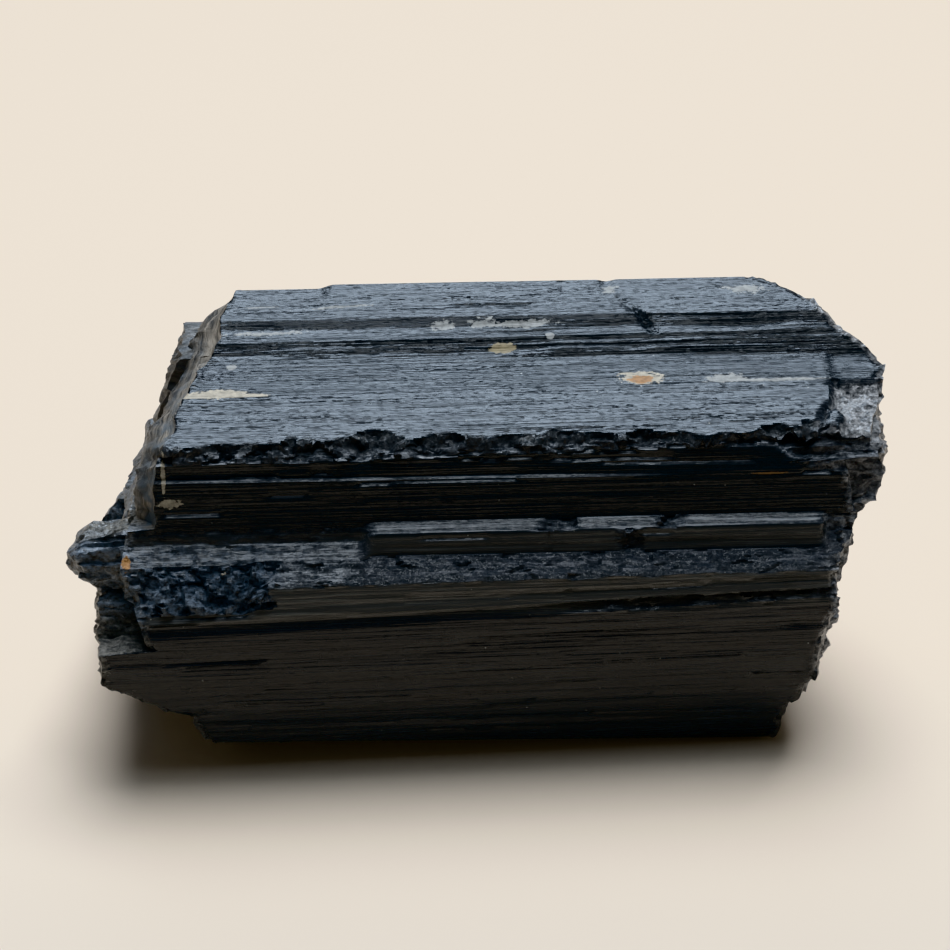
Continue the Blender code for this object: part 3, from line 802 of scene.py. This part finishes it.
def flakes(place, crumbly, satin, crumb, seed):
    """Slope of flat flakes, each tilted its own way; satin and crumb are their pitch and factor."""
    size = Field.node("ShaderNodeMix", {"data_type": "VECTOR"},
                      {0: crumbly.math("GREATER_THAN", 0.5), 4: cells(*satin), 5: cells(*crumb)}, 1)
    spot = vector_math("MULTIPLY_ADD", place, size, (seed, seed, seed))
    near = Field.node("ShaderNodeTexVoronoi", None, {"Vector": spot, "Scale": 1.0}, "Position")
    tilt = vector_math("SUBTRACT", near.beside("Color"), (0.5, 0.5, 0.5))
    return vector_math("DOT_PRODUCT", vector_math("SUBTRACT", spot, near), tilt, output="Value")


def spot_mask(place, centre, radii, ragged, fuzz):
    """1 inside an ellipsoid with a ragged border, 0 outside."""
    scaled = vector_math("DIVIDE", vector_math("SUBTRACT", place, centre), radii)
    reach = vector_math("LENGTH", scaled, output="Value")
    return between(1 - reach + (fuzz - 0.5) * ragged, 0.0, 0.12)


def crack_mask(place, start, end, half, ragged, fuzz):
    """1 on the line from start to end, 0 farther than half from it."""
    run = Vector(end) - Vector(start)
    away = vector_math("SUBTRACT", place, start)
    along = vector_math("DOT_PRODUCT", away, tuple(run), output="Value")
    share = between(along, 0.0, run.length_squared)
    foot = Field.node("ShaderNodeVectorMath", {"operation": "SCALE"}, {0: tuple(run), "Scale": share})
    gap = vector_math("LENGTH", vector_math("SUBTRACT", away, foot), output="Value")
    return between(1 - gap / half + (fuzz - 0.5) * ragged, 0.0, 0.5)


# %% [markdown]
# ## Flecks and hairline cracks
# Small flecks of cream, chalky and rusty minerals cling to the real stone, and a few cracks cross its
# top. They are too thin to be meshes of their own, so each is a spot or a line in the material, laid
# where it is on the stone, with a border that noise makes ragged.

# %% Flecks of other minerals
CREAM = (0.60, 0.58, 0.50, 1)
CHALK = (0.43, 0.47, 0.49, 1)
YELLOW = (0.44, 0.40, 0.28, 1)
OCHRE = (0.50, 0.30, 0.15, 1)
RUST = (0.30, 0.19, 0.10, 1)
# Centre and radii in mm, how ragged, colour.
FLECKS = (
    ((-19.2, -7.55, 28.8), (2.1, 0.62, 0.8), 1.5, CREAM),
    ((-21.6, -7.62, 28.8), (1.8, 0.35, 0.8), 1.3, CREAM),
    ((-17.4, -7.7, 28.8), (2.0, 0.26, 0.8), 1.4, CREAM),
    ((12.0, -7.05, 29.05), (1.6, 0.75, 0.8), 1.9, CREAM),
    ((11.1, -6.45, 29.05), (0.8, 0.14, 0.8), 1.6, CREAM),
    ((11.9, -7.15, 29.05), (0.95, 0.45, 0.8), 2.2, OCHRE),
    ((18.2, -7.4, 29.0), (1.6, 0.6, 0.8), 2.2, CHALK),
    ((22.2, -7.7, 29.0), (3.6, 0.3, 0.8), 1.2, CHALK),
    ((1.9, -3.35, 29.85), (1.1, 0.45, 0.6), 1.2, YELLOW),
    ((-2.6, -1.2, 30.8), (0.9, 0.4, 0.45), 3.0, CHALK),
    ((0.6, -1.15, 30.8), (1.2, 0.4, 0.45), 3.0, CHALK),
    ((3.6, -1.35, 30.8), (2.2, 0.3, 0.45), 2.8, CHALK),
    ((5.5, -2.7, 30.6), (0.35, 0.35, 0.35), 1.0, CHALK),
    ((-10.4, 1.15, 31.6), (2.4, 0.12, 0.6), 2.6, CHALK),
    ((-16.4, 1.6, 31.6), (1.6, 0.12, 0.6), 2.4, CHALK),
    ((-15.9, -1.15, 30.6), (2.8, 0.25, 0.35), 3.2, CHALK),
    ((-18.3, -4.4, 29.4), (0.4, 0.35, 0.4), 1.2, CHALK),
    ((-22.8, -13.8, 23.3), (0.9, 0.5, 0.42), 2.0, CREAM),
    ((-23.15, -13.5, 25.6), (0.16, 0.6, 2.0), 1.6, CREAM),
    ((20.8, -13.4, 24.5), (1.8, 0.4, 0.1), 1.0, RUST),
    ((-26.1, -15.2, 19.2), (0.35, 0.6, 0.8), 1.4, OCHRE),
    ((-19.7, -15.8, 18.5), (0.9, 0.4, 0.14), 1.4, CREAM),
    ((-21.1, -15.9, 18.4), (0.5, 0.4, 0.12), 1.4, CREAM),
    ((10.4, 2.0, 32.0), (0.5, 0.5, 0.5), 3.0, CHALK),
    ((20.6, 1.3, 32.2), (1.5, 0.5, 0.5), 3.4, CHALK),
)
# Dark hairline cracks: from, to, half width.
HAIRLINES = (
    ((10.8, 0.8, 31.6), (11.9, -0.7, 31.4), 0.10),
    ((11.9, -0.7, 31.4), (12.5, -1.4, 31.0), 0.12),
    ((11.9, -0.1, 31.5), (12.7, -1.7, 30.8), 0.10),
    ((12.7, -1.7, 30.8), (13.4, -2.8, 30.6), 0.10),
    ((26.5, -4.3, 29.6), (26.1, -6.2, 29.3), 0.05),
    ((26.1, -6.2, 29.3), (26.25, -8.0, 29.0), 0.06),
    ((26.2, -8.0, 28.9), (25.9, -10.1, 28.4), 0.13),
    ((25.9, -10.1, 28.4), (24.9, -11.5, 28.0), 0.17),
    ((24.9, -11.5, 28.0), (24.3, -13.0, 27.5), 0.19),
    ((4.6, -14.8, 19.1), (4.7, -14.5, 20.9), 0.10),
)
print(len(FLECKS), "flecks and", len(HAIRLINES), "cracks")


# %% [markdown]
# ## Where each finish goes
# One stone shows several finishes, and masks from 0 to 1 say where each lies. Some were stored with the
# mesh's points, such as the broken places. Others follow from where a point lies, or from which way it
# faces. Several materials would need borders in the mesh, while masks fade into one another.

# %% Masks of the stone
stone = bpy.data.materials.new("black schorl")
stone.use_nodes = True
Field.tree = stone.node_tree
place = place_in_mm()
x, y, z = (place.part(axis) for axis in "XYZ")
broken_mark, depth, husk = (Field.node("ShaderNodeAttribute", {"attribute_name": name}, output="Fac")
                            for name in ("broken", "depth", "husk"))
fuzz = cloudy(place, 0.35, 1.5, 21.0, 3.0, 0.7)
crumbly = between(broken_mark, 0.25, 0.65)
broken_here = between(broken_mark + (fuzz - 0.5) * 1.1, 0.12, 0.75)
grown = 1 - broken_here
facing_up = between(Field.node("ShaderNodeNewGeometry", output="Normal").part("Z"), 0.25, 0.75)
# The smoother slope on top, between the seam and the upper riser, and the places near both ends.
slope = between(y, -7.9, -7.6) * (1 - between(y, -1.6, -1.3)) * facing_up
tips = between(x * x, 23.8 ** 2, 26.0 ** 2)
print(len(stone.node_tree.nodes), "nodes for the masks")

# %% [markdown]
# ## Relief finer than the mesh
# The finest ridges are a tenth of a millimetre wide, and as geometry they would take millions of faces.
# A bump tilts the shading instead. Grown faces get ridges and satin, broken places get crumbs, and the
# husk gets fibres that run down from its rim. The heights are millimetres.

# %% Fine relief
steep = 0.085 - facing_up * 0.023 + slope * 0.062
ridges = cloudy(place, 0.30, 170, 3.0, 2.0) * steep + cloudy(place, 0.08, 180, 5.0, 1.0) * 0.014
fine_flakes = flakes(place, crumbly, (0.10, 4.0), (0.13, 1.0), 11.0)
large_flakes = flakes(place, crumbly, (0.30, 16.0), (0.34, 1.2), 13.0)
satin = (fine_flakes * 0.028 + large_flakes * 0.039) * (facing_up * 0.6 + 0.4)
crumbs = fine_flakes * 0.078 + large_flakes * 0.204
strands = Field.node("ShaderNodeCombineXYZ", None, {0: depth * 6.0, 1: z * 0.3, 2: y * 0.25})
fibres = Field.node("ShaderNodeTexNoise", None,
                    {"Vector": strands, "Scale": 1.0, "Detail": 3.0, "Roughness": 0.65})
height = (ridges + satin) * (1 - crumbly) + crumbs * crumbly * (1 - husk * 0.7) + fibres * husk * 0.10
bump = Field.node("ShaderNodeBump", None, {"Strength": 1.0, "Distance": MM, "Height": height})
print(len(stone.node_tree.nodes), "nodes with the relief")

# %% [markdown]
# ## Dust, painted sheen and film on the grown faces
# The clean stone is as black as a stone gets. What greys it is pale bluish dust, caught in long threads
# where a face looks up, which is also a painted sheen: it stands in for the sky mirrored by the upper
# faces. Low on the front lies a dull brownish film. Both are thin, so they change the colour a little and
# leave the gloss. A plain grey would look like plastic, because it is the threads that tell the eye how
# fine the ridges are.

# %% Colour of the grown faces
GLASS_UPRIGHT = (0.001, 0.009, 0.016, 1)
GLASS_FLAT = (0.004, 0.006, 0.009, 1)
# Pale bluish dust, which also stands as a painted sheen on the faces that look up.
DUST_AND_SHEEN = (0.058, 0.070, 0.086, 1)
FILM_THIN = (0.006, 0.012, 0.019, 1)
FILM_THICK = (0.019, 0.028, 0.039, 1)
BAND_THIN = (0.092, 0.099, 0.102, 1)
BAND_THICK = (0.170, 0.180, 0.182, 1)
threads = between(cloudy(place, 0.20, 55, 9.0, 3.0, 0.65), 0.48, 0.66)
clouds = between(cloudy(place, 2.2, 7, 15.0, 4.0, 0.6), 0.40, 0.66)
# The dust mask is real dust and painted sheen in one: pale threads where a face looks up.
dust_and_sheen = (threads * 0.55 + clouds * 0.30 + between(fuzz, 0.5, 0.75) * 0.35) * (facing_up * 0.92 + 0.08)
tone = blend(dust_and_sheen * (1 - slope), blend(facing_up, GLASS_UPRIGHT, GLASS_FLAT), DUST_AND_SHEEN)
brow_band = between(z + (clouds - 0.5) * 0.5, 14.6, 15.6) * (1 - between(z, 17.9, 18.4))
strip_band = between(z, 18.8, 19.0) * (1 - between(z, 20.4, 20.8))
band = brow_band + strip_band
film = blend(threads * 0.6 + clouds * 0.4, FILM_THIN, FILM_THICK)
film = blend(band, film, blend(threads, BAND_THIN, BAND_THICK))
filmed = (1 - between(z, 17.0, 18.5) + band) * grown * (1 - facing_up)
tone = blend(filmed, tone, film)
print(len(stone.node_tree.nodes), "nodes with the dust")

# %% [markdown]
# ## Crumbs, ledges and husk
# A fresh break scatters light from thousands of facets, so it looks grey; its grey is also raised as painted
# light where steep breaks get little light, and near both ends it is painted lighter still. The ledges on
# the front get pale dust that also stands as a painted reflection of the sky above, and the pits at the
# left get a bluish painted sparkle. At the left end the upper slab ends in a tan husk, which weathered
# first at its rim. Each is laid over the colour below it by its mask.

# %% Colour of the breaks, the ledges and the husk
CRUMB_DARK = (0.022, 0.028, 0.034, 1)
CRUMB_GREY_AND_PAINTED_LIGHT = (0.112, 0.122, 0.132, 1)
LEFT_END_PAINTED_LIGHT = (0.34, 0.35, 0.34, 1)
RIGHT_END_PAINTED_LIGHT = (0.54, 0.58, 0.63, 1)
LEDGE_DARK = (0.042, 0.050, 0.060, 1)
LEDGE_DUST_AND_SHEEN = (0.17, 0.19, 0.22, 1)
LEDGE_CHALK_AND_SHEEN = (0.38, 0.43, 0.49, 1)
PIT_PAINTED_SPARKLE = (0.20, 0.26, 0.34, 1)
HUSK_DARK = (0.060, 0.062, 0.063, 1)
HUSK_TAN = (0.40, 0.38, 0.34, 1)
HUSK_GREY = (0.17, 0.205, 0.24, 1)
# Crumb colours are partly painted light: grey raised where breaks get little light, and lighter near both
# ends.
crumb_tone_and_painted_light = blend(tips, CRUMB_GREY_AND_PAINTED_LIGHT, blend(between(x, -1, 1), LEFT_END_PAINTED_LIGHT, RIGHT_END_PAINTED_LIGHT))
tone = blend(broken_here, tone, blend(between(fuzz, 0.30, 0.72), CRUMB_DARK, crumb_tone_and_painted_light))
on_front = (1 - between(y, -12.9, -12.6)) * facing_up
# Ledge tops that look up get pale dust that is also a painted reflection of the sky, palest at the left and
# on the strip.
ledges = between(z, 17.7, 18.1) * (1 - between(z, 26.9, 27.2)) * on_front
chalk_and_sheen = threads * 0.85 + between(fuzz, 0.4, 0.7) * 0.30
left_or_strip = 1 - between(x, -10.0, -9.0) + between(z, 20.3, 20.8)
pale = blend(left_or_strip, LEDGE_DUST_AND_SHEEN, LEDGE_CHALK_AND_SHEEN)
tone = blend(ledges, tone, blend(chalk_and_sheen, LEDGE_DARK, pale))
in_pits = between(z, 14.2, 15.0) * (1 - between(z, 19.6, 20.2)) * broken_here
# A painted sparkle: bluish dots in the pits at the left stand in for glints of light.
painted_pit_sparkle = (1 - between(x, -16.5, -14.5)) * in_pits * between(fuzz, 0.40, 0.62) * 0.8
tone = blend(painted_pit_sparkle, tone, PIT_PAINTED_SPARKLE)
tan = blend(between(fibres, 0.38, 0.60), HUSK_DARK, HUSK_TAN)
weathered = between(cloudy(place, 1.6, 1.0, 27.0), 0.42, 0.60) * (1 - between(z, 27.5, 29.5))
tan = blend(weathered, tan, HUSK_GREY)
husk_rim = between(depth + (fuzz - 0.5) * 0.6, 0.0, 0.1) * (1 - between(depth, 0.9, 1.8) * 0.7)
husk_here = husk * husk_rim
tone = blend(husk_here, tone, tan)
print(len(stone.node_tree.nodes), "nodes with the breaks")

# %% [markdown]
# ## Laying on the flecks and cracks
# The cracks come first and the flecks over them, as the minerals grew over the stone. Each fleck is
# mottled with a darker tone of its own colour. Last come tiny specks: a few lucky cells of a Voronoi
# pattern each carry one pale dot.

# %% Cracks, flecks and specks
CRACK_BLACK = (0.004, 0.005, 0.006, 1)
SPECK = (0.45, 0.47, 0.46, 1)
SHADE = 0.62
crack = 0.0
for start, end, half in HAIRLINES:
    crack = crack_mask(place, start, end, half, 1.6, fuzz) + crack
tone = blend(crack * 0.9, tone, CRACK_BLACK)
crust = 0.0
mottle = between(fuzz, 0.35, 0.65)
for centre, radii, fray, colour in FLECKS:
    mask = spot_mask(place, centre, radii, fray, fuzz)
    shaded = tuple(SHADE * part for part in colour[:3]) + (1,)
    tone = blend(mask, tone, blend(mottle, shaded, colour))
    crust = mask + crust
near = Field.node("ShaderNodeTexVoronoi", None,
                  {"Vector": drawn_out(place, 1.1, 1.0, 31.0), "Scale": 1.0}, "Distance")
lucky = Field.node("ShaderNodeSeparateColor", None, {0: near.beside("Color")}, 0)
speck = (1 - between(near, 0.03, 0.07)) * between(lucky, 0.72, 0.74)
tone = blend(speck * 0.8, tone, SPECK)
print(len(stone.node_tree.nodes), "nodes with the flecks")

# %% [markdown]
# ## Gloss
# Tourmaline bends light more than glass does, with an index of 1.62, so it mirrors about a twentieth of
# what it faces. Dust, breaks, husk, flecks and cracks each blur that mirror. Colour, roughness and bump
# then go to the one shader.

# %% Roughness, and the links to the shader
TOURMALINE_IOR = 1.62
roughness = 0.17 + threads * 0.12 + clouds * 0.08 + broken_here * 0.14
roughness = roughness + husk_here * 0.25 + between(crust, 0.0, 1.0) * 0.4 + crack * 0.3
shader = stone.node_tree.nodes["Principled BSDF"]
for field, name in ((tone, "Base Color"), (roughness, "Roughness"), (bump, "Normal")):
    stone.node_tree.links.new(field.socket, shader.inputs[name])
shader.inputs["IOR"].default_value = TOURMALINE_IOR
crystal.data.materials.append(stone)
print(len(stone.node_tree.nodes), "nodes in all")

# %% [markdown]
# ## Floor
# The crystal lies on a pale floor, painted a little darker in front of the stone as painted shade. Beyond
# the lower edge of the view the floor is painted dark, as painted shade: the upright front faces are glossy
# and mirror that place, and with a pale floor there the black front would look washed out. A dark board
# standing there would do the same, but its edge would show in the gloss.

# %% Floor
FLOOR_FAR = (0.89, 0.80, 0.69, 1)
FLOOR_NEAR_PAINTED_SHADE = (0.79, 0.735, 0.66, 1)
FLOOR_PAINTED_DARK = (0.12, 0.11, 0.10, 1)
bpy.ops.mesh.primitive_plane_add(size=4.0, location=(0, 0, 0))
floor = bpy.context.active_object
floor.name = "floor"
paint = bpy.data.materials.new("pale floor")
paint.use_nodes = True
Field.tree = paint.node_tree
ahead = 0.0 - Field.node("ShaderNodeTexCoord", output="Object").part("Y")
# Painted shade: the floor is darker in front of the stone, and dark beyond the lower edge of the view.
sheet = blend(between(ahead, 0.0, 0.040), FLOOR_FAR, FLOOR_NEAR_PAINTED_SHADE)
sheet = blend(between(ahead, 0.038, 0.052), sheet, FLOOR_PAINTED_DARK)
matt = paint.node_tree.nodes["Principled BSDF"]
paint.node_tree.links.new(sheet.socket, matt.inputs["Base Color"])
matt.inputs["Roughness"].default_value = 0.7
floor.data.materials.append(paint)
print("the floor is", floor.dimensions.x, "m wide")

# %% [markdown]
# ## Lights
# A glossy black stone is drawn by what it mirrors, so each light has one job. The sky window stands behind
# and is only mirrored: it draws the ridges on the upper faces. The soft box hangs overhead and is never
# mirrored: it lights the floor and the dust, and throws the short shadow. The ceiling is seen by the
# ledges. One large light could do it all, but then its shadow and its gloss couldn't be set apart.

# %% Lights
def window(name, place, aim, size, power, colour):
    """A rectangular light at a place, turned to face a point."""
    data = bpy.data.lights.new(name, "AREA")
    data.shape = "RECTANGLE"
    data.size, data.size_y = size
    data.energy = power
    data.color = colour
    light = bpy.data.objects.new(name, data)
    light.location = place
    light.rotation_euler = (Vector(aim) - Vector(place)).to_track_quat("-Z", "Y").to_euler()
    bpy.context.collection.objects.link(light)
    return light


STONE_MIDDLE = (0, 0, 0.02)
sky = window("sky window", (-0.02, 0.475, 0.635), STONE_MIDDLE, (0.52, 0.45), 4.8, (0.70, 0.84, 1.0))
sky.visible_diffuse = False
lamp = window("soft box", (0.06, 0.14, 0.76), STONE_MIDDLE, (0.50, 0.50), 5.8, (1.0, 0.98, 0.97))
lamp.visible_glossy = False
window("ceiling", (0.03, -0.17, 0.78), STONE_MIDDLE, (0.42, 0.34), 1.05, (0.86, 0.94, 1.0))
room = bpy.data.worlds.new("room")
room.use_nodes = True
room.node_tree.nodes["Background"].inputs["Color"].default_value = (1.0, 0.95, 0.88, 1)
room.node_tree.nodes["Background"].inputs["Strength"].default_value = 0.09
bpy.context.scene.world = room
bpy.context.scene.view_settings.view_transform = "Khronos PBR Neutral"
print("lights:", [light.name for light in bpy.data.lights])

# %% [markdown]
# ## Camera
# The lens, height and turn were found by laying the solid's outline over the photograph until all its
# corners met. A long lens this close keeps the far edge nearly as long as the near one. The camera is
# aimed at the middle of the stone, and its place follows from two angles and a distance.

# %% Camera
LENS = 102.3
SENSOR = 36
NEAREST = 0.005
ELEVATION = math.radians(30)
TURN = math.radians(3)
AIM = Vector((-MIDDLE[0], -MIDDLE[1], 17.1)) * MM
DISTANCE = 0.21094
camera_data = bpy.data.cameras.new("camera")
camera_data.sensor_width = SENSOR
camera_data.lens = LENS
camera_data.clip_start = NEAREST
camera = bpy.data.objects.new("camera", camera_data)
bpy.context.collection.objects.link(camera)
away = Vector((-math.sin(TURN) * math.cos(ELEVATION), -math.cos(TURN) * math.cos(ELEVATION),
               math.sin(ELEVATION)))
camera.location = AIM + away * DISTANCE
camera.rotation_euler = (-away).to_track_quat("-Z", "Y").to_euler()
bpy.context.scene.camera = camera
print("camera at", tuple(round(c, 4) for c in camera.location))
